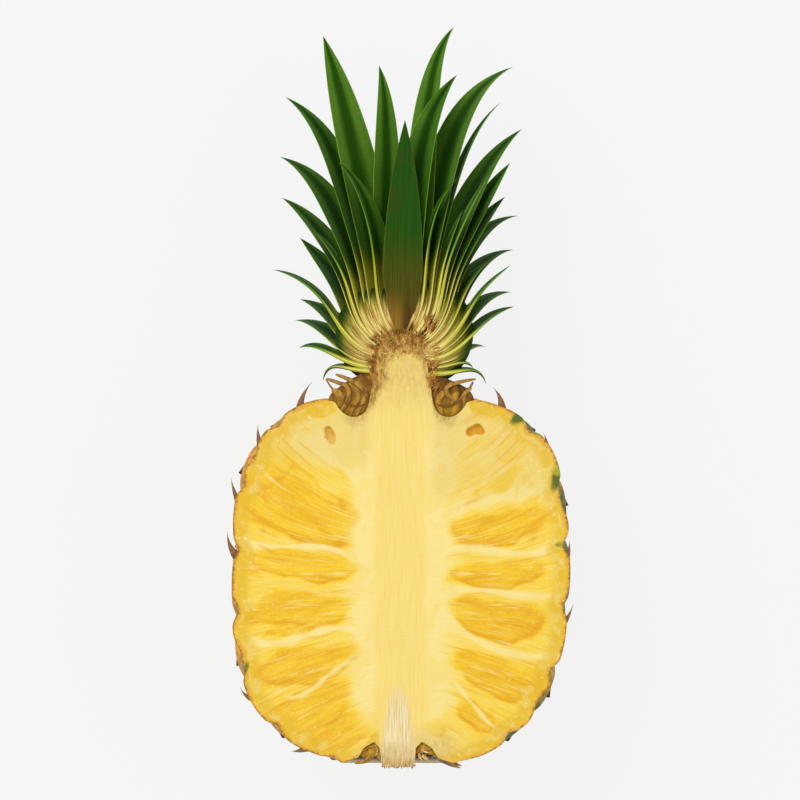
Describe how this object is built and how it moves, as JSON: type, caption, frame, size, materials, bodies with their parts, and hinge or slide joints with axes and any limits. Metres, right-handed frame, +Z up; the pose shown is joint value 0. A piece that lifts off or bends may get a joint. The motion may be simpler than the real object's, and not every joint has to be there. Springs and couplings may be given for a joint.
{
  "type": "halved pineapple with crown",
  "caption": "Half of a pineapple with half of its leafy crown, cut lengthwise and lying cut face up, with a knobbly rind, moist flesh and a pale fibrous core.",
  "frame": {"origin": "middle of the small flat under the rind's lowest eye, where the half rests on the table", "axes": "+Y along the fruit's axis towards the crown, +Z up out of the cut face, +X to the right in the cut face"},
  "size_m": [0.1314, 0.2814, 0.0632],
  "materials": {
    "flesh": "moist, satin, fibrous",
    "rind": "waxy, satin, rough between the eyes",
    "leaf": "satin, with fine lengthwise veins",
    "dry_bract": "dry and papery"
  },
  "bodies": {
    "root": {"half_fruit": "flesh", "leaf_01": "leaf", "leaf_02": "leaf", "leaf_03": "leaf", "leaf_04": "leaf", "leaf_05": "leaf", "leaf_06": "leaf", "leaf_07": "leaf", "leaf_08": "leaf", "leaf_09": "leaf", "leaf_10": "leaf", "leaf_11": "leaf", "leaf_12": "leaf", "leaf_13": "leaf", "leaf_14": "leaf", "leaf_15": "leaf", "leaf_16": "leaf", "leaf_17": "leaf", "leaf_18": "leaf", "leaf_19": "leaf", "leaf_20": "leaf", "leaf_21": "leaf", "leaf_22": "leaf", "leaf_23": "leaf", "leaf_24": "leaf", "leaf_25": "leaf", "leaf_26": "leaf", "leaf_27": "leaf", "leaf_28": "leaf", "leaf_29": "leaf", "leaf_30": "leaf", "leaf_31": "leaf", "leaf_32": "leaf", "leaf_33": "leaf", "leaf_34": "leaf", "leaf_35": "leaf", "leaf_36": "leaf", "leaf_37": "leaf", "leaf_38": "leaf", "leaf_39": "leaf", "leaf_40": "leaf", "leaf_41": "leaf", "leaf_middle": "leaf", "dry_bract_01": "dry_bract", "dry_bract_02": "dry_bract", "dry_bract_03": "dry_bract", "dry_bract_04": "dry_bract", "dry_bract_05": "dry_bract", "dry_bract_06": "dry_bract", "dry_bract_07": "dry_bract", "dry_bract_08": "dry_bract", "dry_bract_09": "dry_bract"}
  },
  "joints": []
}
